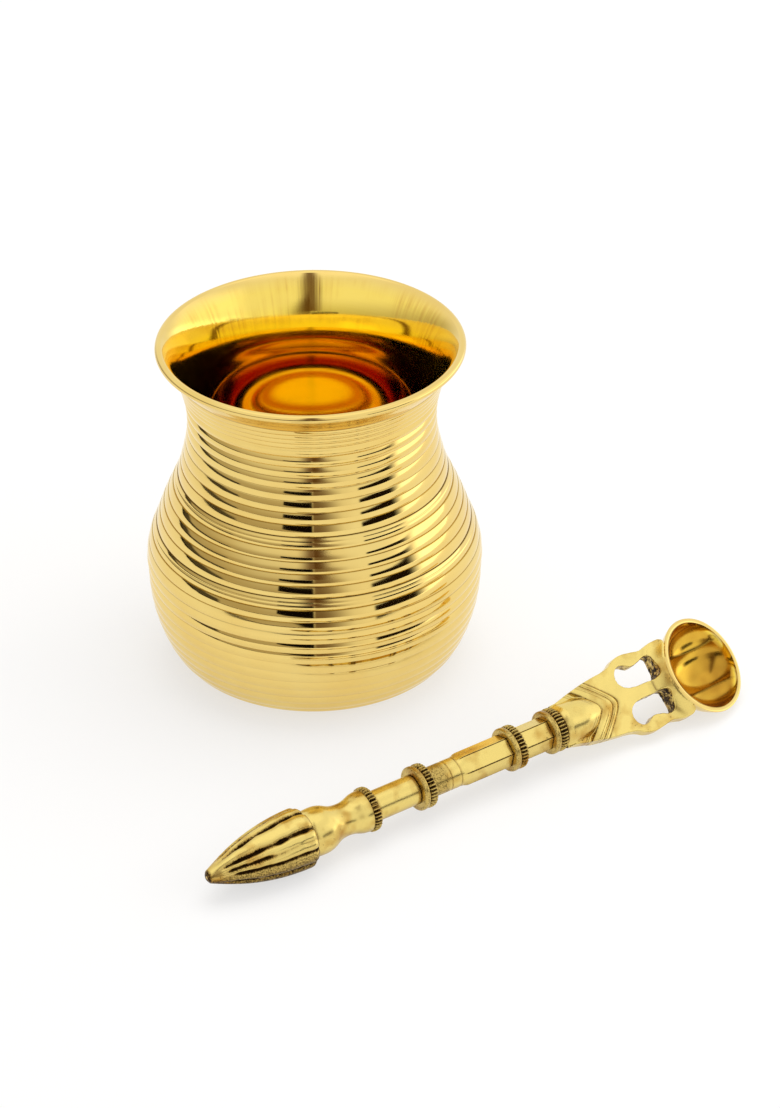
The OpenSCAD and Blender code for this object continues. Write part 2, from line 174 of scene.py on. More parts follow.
def castBrass():
    look = brassCast
    material, tree, shader = newMaterial("castBrass")
    place = addNode(tree, "ShaderNodeTexCoord").outputs["Object"]
    recess = addNode(tree, "ShaderNodeAttribute", attribute_name="recess").outputs["Fac"]
    grain, wave, pits = (
        addNode(tree, "ShaderNodeTexNoise", {
            "Vector": place, "Scale": 1 / (look[size] * mm), "Detail": detail}).outputs["Fac"]
        for size, detail in (("grainSize", 3), ("waveSize", 2), ("pitSize", 1)))
    broken = addNode(tree, "ShaderNodeMath", {0: grain, 1: -0.5}, operation="ADD").outputs[0]
    edge = addNode(tree, "ShaderNodeMath", {
        0: broken, 1: look["edgeBreak"], 2: recess}, operation="MULTIPLY_ADD").outputs[0]
    patch, pitted, dark = (
        addNode(tree, "ShaderNodeMapRange", {
            "Value": value, "From Min": look[limits][0], "From Max": look[limits][1]}).outputs["Result"]
        for value, limits in ((wave, "patchRange"), (pits, "pitRange"), (edge, "edgeRange")))
    pitted = addNode(tree, "ShaderNodeMath", {0: pitted, 1: patch}, operation="MULTIPLY").outputs[0]
    tarnishAndShade = addNode(tree, "ShaderNodeMath", {0: dark, 1: pitted}, operation="MAXIMUM").outputs[0]
    colour = linear(look["colour"])
    for share, tone in ((patch, "ochre"), (recess, "brown"), (tarnishAndShade, "tarnishAndShade")):
        colour = addNode(tree, "ShaderNodeMix", {
            "Factor": share, "A": colour, "B": linear(look[tone])}, data_type="RGBA").outputs[2]
    dull = addNode(tree, "ShaderNodeMapRange", {
        "Value": tarnishAndShade, "To Min": look["roughness"], "To Max": look["dull"]}).outputs["Result"]
    rough = addNode(tree, "ShaderNodeMath", {0: grain, 1: tarnishAndShade}, operation="MULTIPLY").outputs[0]
    bump = addNode(tree, "ShaderNodeBump", {
        "Height": wave, "Strength": 1, "Distance": look["waveDepth"] * mm}).outputs["Normal"]
    bump = addNode(tree, "ShaderNodeBump", {
        "Height": rough, "Strength": 1, "Distance": look["grainDepth"] * mm, "Normal": bump}).outputs["Normal"]
    wireMetal(tree, shader, colour, dull, bump)
    return material


brass = {"polished_brass": spunBrass(), "cast_brass": castBrass()}
print("materials:", ", ".join(m.name for m in brass.values()))


# Where the spoon lies: X runs along its handle from the bud's tip, Z stands up from the pierced plate's face

def spoonPlace():
    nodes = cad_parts
    centre = {n: sum(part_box(n), Vector()) / 2 for n in ("fluted_bud", "spoon_bowl")}
    toBowl = centre["spoon_bowl"] - centre["fluted_bud"]
    along = max((p.normal for p in nodes["short_hex_sleeve"].data.polygons), key=toBowl.dot).copy()
    face = max(nodes["pierced_head"].data.polygons, key=lambda p: p.area).normal.copy()
    face = face if face.z > 0 else -face
    turn = Matrix((along, face.cross(along), face)).transposed()
    sleeve = [turn.transposed() @ v.co for v in nodes["short_hex_sleeve"].data.vertices]
    tip = min(along.dot(v.co) for v in nodes["fluted_bud"].data.vertices)
    middle = [(min(p[i] for p in sleeve) + max(p[i] for p in sleeve)) / 2 for i in (1, 2)]
    return Matrix.Translation(turn @ Vector((tip, *middle))) @ turn.to_4x4() @ Matrix.Scale(mm, 4)


onSpoon = spoonPlace()


def reach(node):
    # Where a piece of the spoon starts and ends along the handle, and its greatest radius
    points = [onSpoon.inverted() @ v.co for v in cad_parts[node].data.vertices]
    return min(p.x for p in points), max(p.x for p in points), max(hypot(p.y, p.z) for p in points)


# Shapes

hair = 0.01             # mm, closer than this counts as touching
mergeDistance = 1e-4    # mm


def bezier(p, steps):
    points = []
    for i in range(steps + 1):
        t = i / steps
        u = 1 - t
        points.append(u ** 3 * p[0] + 3 * u ** 2 * t * p[1] + 3 * u * t * t * p[2] + t ** 3 * p[3])
    return points


def between(low, high, share):
    return low + (high - low) * share


def smooth(low, high, x):
    t = min(max((x - low) / (high - low), 0), 1)
    return t * t * (3 - 2 * t)


def spinChain(bm, points, axis, steps, marks=None):
    # marks: named values along the chain, which the spin carries round
    marks = marks or {}
    for name in marks:
        bm.verts.layers.float.new(name)
    verts = [bm.verts.new(p) for p in points]
    for name, values in marks.items():
        layer = bm.verts.layers.float[name]
        for v, value in zip(verts, values):
            v[layer] = value
    edges = [bm.edges.new(pair) for pair in zip(verts, verts[1:])]
    bmesh.ops.spin(bm, geom=verts + edges, cent=(0, 0, 0), axis=axis, angle=2 * pi, steps=steps, use_merge=True)
    bmesh.ops.remove_doubles(bm, verts=bm.verts, dist=mergeDistance)
    bmesh.ops.recalc_face_normals(bm, faces=bm.faces)


def finishPiece(name, bm, place, body, node, slot, sharp=40):
    # sharp: degrees past which an edge isn't shaded smooth
    bm.transform(place)
    for face in bm.faces:
        face.smooth = True
    for edge in bm.edges:
        edge.smooth = len(edge.link_faces) == 2 and edge.calc_face_angle(0) < radians(sharp)
    mesh = bpy.data.meshes.new(name)
    bm.to_mesh(mesh)
    bm.free()
    mesh.materials.append(brass[slot])
    piece = bpy.data.objects.new(name, mesh)
    scene.collection.objects.link(piece)
    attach(piece, body)
    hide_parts(node)
    print(f"{name}: {len(mesh.polygons)} faces")


# Pot: one spun shell, ribbed outside in tiers of five. Sizes are in millimetres, and those under the lip are along
# the outline

pot = {
    "baseRadius": 27.5, "bellyRadius": 39.75, "bellyHeight": 26.5, "neckRadius": 29, "neckHeight": 64.5,
    "mouthRadius": 35.2, "mouthHeight": 82.2,
    "baseAngle": 7, "baseReach": 11, "bellyUnder": 6, "bellyOver": 11, "neckUnder": 15.5, "neckOver": 6,
    "flareAngle": 45, "flareReach": 5,
    "wall": 1.18, "lipOut": 0.8, "lipBack": 0.45, "lipRun": 1.6, "lipTurn": (-72, 180),
    "lipPlain": 6.25, "basePlain": 3,
    "ribPitch": 2.82, "ribCrown": 0.17, "ribNotch": 0.1,
    "fineRibs": 2,                              # cut in two, next to the lip
    "weakRib": 0.5, "fullRibs": (9, 15), "lastRibs": (60, 67),
    "topAngle": 21, "topSlope": (0.05, 0.55), "topPower": 1.3,
    "neckRibs": 17.5, "neckReach": 6, "neckAngle": 22.5, "stepFrom": 0.1, "stepCurve": (0.92, 0.09),
    "tierRibs": 5, "tierDepth": 0.28, "tierEase": 0.9,
    "tierLine": 0.06, "tierLineAt": 0.2, "tierLineWidth": 0.11,
    "unevenness": 0.2, "seed": 5,
    "ribPlaces": (-1, -0.94, -0.84, -0.6, -0.3, 0, 0.2, 0.4, 0.6, 0.8, 0.9, 0.96), "linePlaces": (0.1, 0.3),
    "grooveShade": 0.68, "grooveEdge": (0.84, 0.98), "lipShade": 0.3,
    "midTier": 0.45, "tierEnds": (0.7, 1),      # share of the grooves' painted shade in the middle of a tier
    "weakShade": 0.4, "lowFade": 0.75, "lowGrooves": (59, 66),
    "ringIn": 24.5, "kickRadius": 21.8, "kickHeight": 3.2, "dish": 2.7,
    "innerFrom": 0.3, "innerTo": 1.2,
    "lacquer": ((0.55, 0, 3), (0.45, 6, 11)),   # share, and where under the lip it comes in
    "wipedFrom": (0, 3), "wipedTo": (13, 9),
    "redShadeHeights": (16, 30),                      # heights where the red painted shade is full and where it ends
    "thinShadeHeights": (2.5, 7), "thinShadeShare": 0.4,
    "bottomRing": 19, "ringWidth": 3.2, "ringShade": 0.1, "ringRedShade": 0.8, "bottomSatin": 2.5,
    "steps": 168, "outlineSteps": 150, "slopeStep": 0.3, "innerSteps": 60, "bottomSteps": 32, "plainSteps": 8,
    "lipSteps": 12,
}


def potOutline():
    base = Vector((pot["baseRadius"], 0))
    belly = Vector((pot["bellyRadius"], pot["bellyHeight"]))
    neck = Vector((pot["neckRadius"], pot["neckHeight"]))
    mouth = Vector((pot["mouthRadius"], pot["mouthHeight"]))
    up = Vector((0, 1))
    rise = Vector((cos(radians(pot["baseAngle"])), sin(radians(pot["baseAngle"]))))
    lean = Vector((sin(radians(pot["flareAngle"])), cos(radians(pot["flareAngle"]))))
    spans = ((base, base + pot["baseReach"] * rise, belly - pot["bellyUnder"] * up, belly),
             (belly, belly + pot["bellyOver"] * up, neck - pot["neckUnder"] * up, neck),
             (neck, neck + pot["neckOver"] * up, mouth - pot["flareReach"] * lean, mouth))
    points = [base]
    for span in spans:
        points += bezier(span, pot["outlineSteps"])[1:]
    lengths = [0]
    for a, b in zip(points, points[1:]):
        lengths.append(lengths[-1] + (b - a).length)
    step = pot["slopeStep"]

    def at(s):
        i = min(max(bisect(lengths, s) - 1, 0), len(points) - 2)
        return points[i].lerp(points[i + 1], (s - lengths[i]) / (lengths[i + 1] - lengths[i]))

    def outward(s):
        d = (at(min(s + step, lengths[-1])) - at(max(s - step, 0))).normalized()
        return Vector((d.y, -d.x))

    return at, outward, lengths[-1]


def ribStrength(down):
    # How strong the ribs are that far below the lip, and how much they are stepped, as at the neck
    weak = pot["weakRib"]
    strength = weak + (1 - weak) * (smooth(*pot["fullRibs"], down) - smooth(*pot["lastRibs"], down))
    return strength, exp(-((down - pot["neckRibs"]) / pot["neckReach"]) ** 4)


def ribCut(across, down, lean, uneven, parts, lined):
    # How far the outline is sunk there, and how dark it is. across: -1 at the rib's lower edge, 1 at its upper edge
    pitch, off = pot["ribPitch"], abs(across)
    strength, stepped = ribStrength(down)
    inTier = 2 * ((down - pot["lipPlain"]) / pitch / pot["tierRibs"] % 1) - 1
    tierOff = abs(inTier)
    if across < 0:
        sunk = (pot["ribCrown"] * uneven * off ** 2 + pot["ribNotch"] * off ** 8) / parts
    else:
        # The upper side of each rib turns up by nearly the same angle all down the belly
        tierSlope = -4 * pot["tierDepth"] * inTier / pitch / pot["tierRibs"]
        slope = tan(radians(pot["topAngle"]) - lean) - pot["tierEase"] * tierSlope * (1 - stepped)
        slope = min(max(slope, pot["topSlope"][0]), pot["topSlope"][1])
        sunk = slope * uneven * off ** pot["topPower"] / pot["topPower"] * pitch / 2 / parts
        # At the neck it is a step, nearly flat
        x = max(0, across - pot["stepFrom"])
        straight, curved = pot["stepCurve"]
        step = tan(radians(pot["neckAngle"]) - lean) * (straight * x + curved * x * x) * pitch / 2 / parts
        sunk += stepped * (step - sunk)
    sunk += pot["tierDepth"] * tierOff ** 2 * (1 - stepped)
    if lined:
        sunk += pot["tierLine"] * exp(-((across - pot["tierLineAt"]) / pot["tierLineWidth"]) ** 2)
    # The grooves are darkened with painted shade: more at a tier's ends, less on weak ribs and low down
    dark = pot["grooveShade"] * smooth(*pot["grooveEdge"], off)
    dark *= between(pot["midTier"], 1, smooth(*pot["tierEnds"], tierOff))
    dark *= between(pot["weakShade"], 1, strength) * (1 - pot["lowFade"] * smooth(*pot["lowGrooves"], down))
    return sunk * strength, dark


def makePot():
    at, outward, end = potOutline()
    wall, lipPlain, pitch = pot["wall"], pot["lipPlain"], pot["ribPitch"]
    draw = random.Random(pot["seed"])
    ribs = int((end - lipPlain - pot["basePlain"]) / pitch)
    uneven = [draw.uniform(1 - pot["unevenness"], 1 + pot["unevenness"]) for _ in range(ribs + 1)]
    outline, marks = [], {"recess": [], "satin": [], "brushed": [], "redTintAndShade": []}

    def add(point, dark=0, satin=0, wiped=0, redShaded=0):
        outline.append(point)
        for name, value in zip(marks, (dark, satin, wiped, redShaded)):
            marks[name].append(value)

    ringIn, kickRadius = pot["ringIn"], pot["kickRadius"]

    def bottom(r):
        # The pushed-up bottom, dished in its middle
        raised = pot["kickHeight"] * (1 - smooth(kickRadius, ringIn, r))
        return raised - pot["dish"] * max(0, 1 - (r / kickRadius) ** 2)

    radii = [ringIn * i / pot["bottomSteps"] for i in range(pot["bottomSteps"] + 1)]
    for r in radii:
        add(Vector((r, bottom(r))))
    for i in range(ceil(pot["basePlain"])):
        add(at(i))
    for rib in range(ribs - 1, -1, -1):
        parts = 2 if rib < pot["fineRibs"] else 1
        lined = rib % pot["tierRibs"] == 0 and rib > pot["tierRibs"]
        places = sorted(pot["ribPlaces"] + pot["linePlaces"] * lined)
        for part in range(parts - 1, -1, -1):
            low = lipPlain + (rib + (part + 1) / parts) * pitch
            for across in places:
                down = low - (across + 1) / 2 * pitch / parts
                out = outward(end - down)
                sunk, dark = ribCut(across, down, asin(out.y), uneven[rib], parts, lined)
                add(at(end - down) - out * sunk, dark)
    # The plain band starts in the last groove, which gets painted shade like the others
    lastGroove = pot["weakRib"] * (pot["ribCrown"] + pot["ribNotch"] + pot["tierDepth"])
    for i in range(pot["plainSteps"] + 1):
        s = end - lipPlain + (lipPlain - pot["lipRun"]) * i / pot["plainSteps"]
        add(at(s) - outward(s) * lastGroove * (1 - smooth(0, 3, i)), pot["lipShade"] if i == 0 else 0)
    # The lip is rolled round: from the outside, over the top, to the inside
    lipAt = end - pot["lipBack"]
    out = outward(end)
    ahead = Vector((-out.y, out.x))
    lipRadius = (wall + pot["lipOut"]) / 2
    lipCentre = at(lipAt) - out * (lipRadius - pot["lipOut"])
    for i in range(pot["lipSteps"] + 1):
        a = radians(between(*pot["lipTurn"], i / pot["lipSteps"]))
        add(lipCentre + lipRadius * (out * cos(a) + ahead * sin(a)))
    fullShadeAt, noShadeAt = pot["redShadeHeights"]
    for i in range(1, pot["innerSteps"] + 1):
        s = between(lipAt - pot["innerFrom"], pot["innerTo"], i / pot["innerSteps"])
        down, point = lipAt - s, at(s) - outward(s) * wall
        lacquer = sum(share * smooth(low, high, down) for share, low, high in pot["lacquer"])
        wiped = smooth(*pot["wipedFrom"], down) * smooth(*pot["wipedTo"], down)
        # The red painted shade is thinner next to the bottom
        redShaded = smooth(noShadeAt, fullShadeAt, point.y) * between(pot["thinShadeShare"], 1, smooth(*pot["thinShadeHeights"], point.y))
        add(point, 0, lacquer, wiped, redShaded)
    for r in reversed(radii):
        # A dark red ring painted on the bottom: painted shade
        ringed = exp(-((r - pot["bottomRing"]) / pot["ringWidth"]) ** 2)
        point = Vector((r, wall + bottom(r)))
        add(point, pot["ringShade"] * ringed, pot["bottomSatin"], 0, pot["ringRedShade"] * ringed)
    bm = bmesh.new()
    spinChain(bm, [(p.x, 0, p.y) for p in outline], (0, 0, 1), pot["steps"], marks)
    finishPiece("potShell", bm, Matrix.Scale(mm, 4), "pot", "pot_shell", "polished_brass", sharp=50)


makePot()


# Spoon: each piece is shaped along X, in millimetres from the bud's tip

# Painted shade on the side that the spoon lies on: how far a face looks down where the shade starts and
# where it is full, and how dark it is then
underside = (0.1, 0.8, 0.42)


def turnedPiece(name, node, outline, steps, shape, under=underside):
    # outline: (distance along the handle, radius), from one end to the other
    bm = bmesh.new()
    spinChain(bm, [(s, 0, r) for s, r in outline], (1, 0, 0), steps)
    recess = bm.verts.layers.float.new("recess")
    down = (onSpoon.to_3x3().inverted() @ Vector((0, 0, -1))).normalized()
    for v in bm.verts:
        radius, angle = hypot(v.co.y, v.co.z), atan2(v.co.y, v.co.z)
        if radius > 0:
            newRadius, dark = shape(v.co.x, radius, angle)
            facing = (v.co.y * down.y + v.co.z * down.z) / radius
            v[recess] = max(dark, under[2] * smooth(under[0], under[1], facing))
            v.co.y *= newRadius / radius
            v.co.z *= newRadius / radius
    finishPiece(name, bm, onSpoon, "spoon", node, "cast_brass")


# The grooves between the bud's petals were filed by hand, so they stand at uneven angles from the plate's face
bud = {
    "tipRadius": 1.25, "tip": ((0, 0), (0, 0.4), (0.05, 0.7), (0.25, 0.93)),    # along, share of the tip's radius
    "sideFrom": 0.5, "edge": 1.3, "rounding": ((0.5, 0.08), (0.9, 0.3)), "backDrop": 0.7, "backRing": 0.8,
    "grooves": (-178, -146, -112, -76, -42, -20, 3, 46, 72, 98, 124, 152),
    "wander": 2.5, "wanderRate": 0.22,          # degrees, waves to the millimetre
    "shortGroove": -20, "shortFade": (11, 18), "shortLoss": 0.75,
    "petalCrown": 0.4, "notch": 0.7, "notchWidth": 0.58, "fade": (0.8, 7),
    "depth": 0.8, "drift": 0.5, "driftRate": (0.5, 0.1), "backDepth": 0.6,
    "petalTarnish": 0.3, "tipTarnish": 0.7, "tipEnd": (0.2, 0.9), "backTarnish": 0.6, "backWidth": 0.6,
    "under": (-0.6, 0.4, 0.6), "steps": 240, "rows": 64,
}


def makeBud():
    start, end, radius = reach("fluted_bud")
    arcLength = end - start - bud["edge"]
    swell = radius - bud["tipRadius"]
    arc = (arcLength ** 2 + swell ** 2) / (2 * swell)
    grooves = bud["grooves"]

    def side(s):
        return radius - arc + sqrt(arc ** 2 - (arcLength - s) ** 2)

    outline = [(s, bud["tipRadius"] * share) for s, share in bud["tip"]]
    for i in range(bud["rows"] + 1):
        s = bud["sideFrom"] + (arcLength - bud["sideFrom"]) * i / bud["rows"]
        outline.append((s, side(s)))
    outline += [(arcLength + past, radius - drop) for past, drop in bud["rounding"]]
    outline += [(end, radius - bud["backDrop"]), (end, radius * bud["backRing"]), (end, 0)]

    def petals(s, r, angle):
        turn = degrees(angle) + bud["wander"] * noise.noise((s * bud["wanderRate"], 0, 0))
        above = [g for g in grooves if g > turn]
        below = [g for g in grooves if g <= turn]
        high = above[0] if above else grooves[0] + 360
        low = below[-1] if below else grooves[-1] - 360
        across = abs(2 * (turn - low) / (high - low) - 1)
        near, groove = min((turn - low, low), (high - turn, high))
        alongRate, roundRate = bud["driftRate"]
        drift = bud["drift"] * noise.noise((s * alongRate, groove * roundRate, 2))
        deep = smooth(*bud["fade"], s) * (bud["depth"] + drift)
        if groove == bud["shortGroove"]:
            deep *= 1 - bud["shortLoss"] * smooth(*bud["shortFade"], s)
        if s > end - hair:
            deep *= bud["backDepth"] * r / radius
        notch = exp(-(radians(near) * r / bud["notchWidth"]) ** 2)
        sunk = deep * (bud["petalCrown"] * across ** 2 * r / radius + bud["notch"] * notch)
        tip = bud["tipTarnish"] * (1 - smooth(*bud["tipEnd"], s))
        back = bud["backTarnish"] * smooth(end - bud["backWidth"], end, s)
        return r - sunk, max(deep * (notch + bud["petalTarnish"] * across ** 3), tip, back)

    turnedPiece("flutedBud", "fluted_bud", outline, bud["steps"], petals, bud["under"])


makeBud()

grip = {
    "bulbAt": 3.1, "bulbSeat": 0.7, "waistRadius": 3.8, "flareRadius": 4.8, "flareLength": 5.6,
    "startTarnish": 0.5, "startWidth": 0.5, "endTarnish": 0.35, "endWidth": 0.7, "rows": 16, "steps": 96,
}


def makeGrip():
    start, end, bulb = reach("baluster_grip")
    rise, seat = grip["bulbAt"], bulb - grip["bulbSeat"]
    waist, flare = grip["waistRadius"], grip["flareRadius"]
    bulbAt, waistAt = start + rise, end - grip["flareLength"]
    mid, late = (bulbAt + waistAt) / 2, (waistAt + end) / 2
    spans = (((start, seat), (start + rise / 3, bulb), (start + 2 * rise / 3, bulb), (bulbAt, bulb)),
             ((bulbAt, bulb), (mid, bulb), (mid, waist), (waistAt, waist)),
             ((waistAt, waist), (late, waist), (late, flare), (end, flare)))
    outline = [Vector((start, 0)), Vector((start, seat))]
    for span in spans:
        outline += bezier([Vector(p) for p in span], grip["rows"])[1:]
    outline.append(Vector((end, 0)))

    def worn(s, r, angle):
        first = grip["startTarnish"] * (1 - smooth(0, grip["startWidth"], s - start))
        return r, first + grip["endTarnish"] * smooth(-grip["endWidth"], 0, s - end)

    turnedPiece("balusterGrip", "baluster_grip", outline, grip["steps"], worn)


makeGrip()

ring = {
    "fullness": 0.62,           # of the rounded edge: 1 is half a circle, less is squarer
    "teeth": 36, "toothDepth": 0.6, "toothWidth": (0.1, 0.26), "toothEdge": 0.28, "toothFoot": (1.3, 0.8),
    "unevenness": 0.4, "seed": 7,
    "speckle": 0.37, "seat": (3.9, 4.6), "jointWidth": (1.1, 0.3), "jointDepth": (0.9, 0.2),
    "toothSteps": 10, "plainSteps": 128, "arcSteps": 16,
}


def ringOutline(start, end, radius):
    half = (end - start) / 2
    points = [(start, 0)]
    for i in range(ring["arcSteps"] + 1):
        a = pi * i / ring["arcSteps"]
        c = cos(a)
        points.append((start + half - half * (abs(c) ** ring["fullness"]) * (1 if c > 0 else -1),
                       radius - half + half * sin(a) ** ring["fullness"]))
    return points + [(end, 0)]


def makeRing(name, node, toothed, seed):
    start, end, radius = reach(node)
    half = (end - start) / 2
    draw = random.Random(seed)
    cuts = [draw.uniform(1 - ring["unevenness"], 1) for _ in range(ring["teeth"])]
    widths = [draw.uniform(*ring["toothWidth"]) for _ in range(ring["teeth"])]
    wide, narrow = (share * half for share in ring["jointWidth"])
    deep, shallow = (radius - depth for depth in ring["jointDepth"])
    foot, crest = (radius - share * half for share in ring["toothFoot"])

    def teeth(s, r, angle):
        # Dark against the sleeve, and between the two rings of a pair
        joint = start if toothed else end
        inner = smooth(wide, narrow, abs(s - joint)) * (1 - smooth(deep, shallow, r))
        dark = max(1 - smooth(*ring["seat"], r), inner, ring["speckle"])
        if not toothed:
            return r, dark
        k = ring["teeth"] * (angle / (2 * pi) + 1)
        tooth = int(k) % ring["teeth"]
        across = abs(2 * (k - floor(k)) - 1)
        cut = smooth(widths[tooth], widths[tooth] + ring["toothEdge"], across) * cuts[tooth]
        return r - ring["toothDepth"] * cut * smooth(foot, crest, r), max(cut, dark)

    steps = ring["teeth"] * ring["toothSteps"] if toothed else ring["plainSteps"]
    turnedPiece(name, node, ringOutline(start, end, radius), steps, teeth)


for number in (1, 2, 3, 4):
    makeRing(f"knurledRing{number}", f"knurled_ring_{number}", True, ring["seed"] + number)
for number in (2, 3, 4):
    makeRing(f"plainRing{number}", f"plain_ring_{number}", False, ring["seed"])

roundBar = {"rounding": 0.15, "plainFrom": 1, "endTarnish": 0.75, "endWidth": 0.5, "steps": 96}


def makeRoundSleeve():
    start, end, radius = reach("round_sleeve")
    rounding, plain = roundBar["rounding"], roundBar["plainFrom"]
    outline = [(start, 0), (start, radius - rounding), (start + rounding, radius), (start + plain, radius),
               ((start + end) / 2, radius),
               (end - plain, radius), (end - rounding, radius), (end, radius - rounding), (end, 0)]

    def worn(s, r, angle):
        return r, roundBar["endTarnish"] * (1 - smooth(0, roundBar["endWidth"], min(s - start, end - s)))

    turnedPiece("roundSleeve", "round_sleeve", outline, roundBar["steps"], worn)


makeRoundSleeve()

# Each corner of the six-sided lengths has a fine scored line along it. The band's tarnish breaks up into dots
hexBar = {
    "acrossFlats": 7, "notch": 0.16, "notchWidth": 3.2,         # the notch's width is in degrees
    "bandLength": 8, "bandStep": 0.25, "lines": (4.9, 7.6), "lineDepth": 0.1, "lineWidth": 0.2,
    "dots": 0.42, "dotsEnd": (3.6, 5.0), "run": 1.6, "endTarnish": 0.8, "endWidth": 0.5, "rows": 24, "steps": 360,
}


def hexRadius(angle):
    sector = radians(60)
    off = angle - sector * floor(angle / sector + 0.5)
    corner = abs(degrees(sector / 2 - abs(off)))
    cut = max(0, 1 - corner / hexBar["notchWidth"])
    return hexBar["acrossFlats"] / 2 / cos(off) - hexBar["notch"] * cut, cut


def makeHexSleeve(name, node, banded):
    start, end, _ = reach(node)
    radius = hexBar["acrossFlats"] / 2
    bandEnd = start + (hexBar["bandLength"] if banded else 0)
    outline = [(start, 0), (start, radius)]
    if banded:
        bandRows = int(hexBar["bandLength"] / hexBar["bandStep"])
        outline += [(start + hexBar["bandStep"] * i, radius) for i in range(1, bandRows)]
    rows = hexBar["rows"]
    outline += [(bandEnd + (end - bandEnd) * i / rows, radius) for i in range(rows + 1)] + [(end, 0)]

    def shape(s, r, angle):
        worn = hexBar["endTarnish"] * (1 - smooth(0, hexBar["endWidth"], min(s - start, end - s)))
        if r < radius - hair:
            return r, worn
        if s < bandEnd + hair:
            near = min(abs(s - start - line) for line in hexBar["lines"])
            cut = max(0, 1 - near / hexBar["lineWidth"])
            dots = hexBar["dots"] * (1 - smooth(*hexBar["dotsEnd"], s - start))
            return r - hexBar["lineDepth"] * cut, max(worn, cut, dots)
        hexR, cut = hexRadius(angle)
        shaped = smooth(0, hexBar["run"], s - bandEnd) if banded else 1
        return between(radius, hexR, shaped), max(worn, cut * shaped)

    turnedPiece(name, node, outline, hexBar["steps"], shape)


makeHexSleeve("bandedHexSleeve", "banded_hex_sleeve", True)
makeHexSleeve("shortHexSleeve", "short_hex_sleeve", False)

# The core rod stays as it is, inside the handle
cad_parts["core_rod"].data.materials.clear()
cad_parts["core_rod"].data.materials.append(brass["cast_brass"])


# Bowl: a cut ball, with three hollows side by side along the handle

bowl = {
    "centreAt": 136.95, "centreUp": 4.47, "radius": 12.2, "lean": 18, "rimBelow": 2.703, "rimWidth": 1.15,
    # From each edge of the rim: towards its middle, down
    "rimOuter": ((0.02, 0.3), (0.12, 0.06), (0.3, 0)), "rimInner": ((0.3, 0), (0.08, 0.1)), "rimDeep": 0.2,
    "hollows": (-56, 0, 56), "creases": (-28, 28),              # degrees across the bowl
    "hollowRadius": 7, "hollowOut": 4.2, "fade": (0.5, 9),
    "rimTarnish": 0.12, "edgeShade": 0.5, "edgeWidth": (0.2, 4), "creaseShade": 0.75, "creaseWidth": (0.5, 3.5),
    "shade": 0.06, "farShade": 0.36, "farWay": (0.85, -0.5), "farFrom": (0, 10), "patches": 0.2, "patchRate": 0.35,
    "satin": 3, "redTintAndShade": 0.4, "shadeReddening": 0.4, "rows": 44, "steps": 168,
}


def hollowReach(tilt):
    c, r = bowl["hollowOut"], bowl["hollowRadius"]
    return max(c * cos(tilt - radians(a)) + sqrt(r * r - (c * sin(tilt - radians(a))) ** 2) for a in bowl["hollows"])


def makeBowl():
    radius, drop, rows = bowl["radius"], bowl["rimBelow"], bowl["rows"]
    rimAngle = acos(drop / radius)
    rimOut = radius * sin(rimAngle)
    rimIn = rimOut - bowl["rimWidth"]
    inAngle, inside = atan2(rimIn, drop), hypot(rimIn, drop)

    def onBall(r, angle):
        return r * sin(angle), -r * cos(angle)

    outline = [onBall(radius, rimAngle * i / rows) for i in range(rows)]
    outline += [(rimOut - inwards, -drop - down) for inwards, down in bowl["rimOuter"]]
    outline += [(rimIn + outwards, -drop - down) for outwards, down in bowl["rimInner"]]
    outline += [onBall(inside, inAngle * (1 - i / rows)) for i in range(rows + 1)]
    bm = bmesh.new()
    spinChain(bm, [(r, 0, z) for r, z in outline], (0, 0, 1), bowl["steps"])
    layers = ("recess", "satin", "redTintAndShade")
    for name in layers:
        bm.verts.layers.float.new(name)
    recess, satin, redTintAndShade = (bm.verts.layers.float[name] for name in layers)
    for v in bm.verts:
        if v.co.length > inside + 2 * hair:
            v[recess] = bowl["rimTarnish"] if v.co.z > -drop - bowl["rimDeep"] else 0
            continue
        way = v.co.normalized()
        tilt = asin(max(-1, min(1, way.y)))
        below = degrees(inAngle - acos(-way.z))
        deep = smooth(*bowl["fade"], below)
        v.co = way * (inside * (1 - deep) + hollowReach(tilt) * deep)
        # Painted shade: darker towards the far wall, in patches, under the rim's inner edge and along the creases;
        # the red tint grows with it
        far = bowl["farWay"][0] * v.co.x + bowl["farWay"][1] * v.co.y
        shade = bowl["shade"] + bowl["farShade"] * smooth(*bowl["farFrom"], far)
        shade += bowl["patches"] * noise.noise(v.co * bowl["patchRate"])
        fromCrease = min(abs(degrees(tilt) - a) for a in bowl["creases"])
        edge = bowl["edgeShade"] * (1 - smooth(*bowl["edgeWidth"], below))
        crease = bowl["creaseShade"] * deep * (1 - smooth(*bowl["creaseWidth"], fromCrease))
        v[recess] = max(deep * shade, edge, crease)
        v[satin] = bowl["satin"] * deep
        v[redTintAndShade] = deep * (bowl["redTintAndShade"] + bowl["shadeReddening"] * shade)
    turn = Matrix.Rotation(radians(bowl["lean"]), 4, "Y")
    place = onSpoon @ (Matrix.Translation((bowl["centreAt"], 0, bowl["centreUp"])) @ turn)
    finishPiece("spoonBowl", bm, place, "spoon", "spoon_bowl", "polished_brass")


makeBowl()

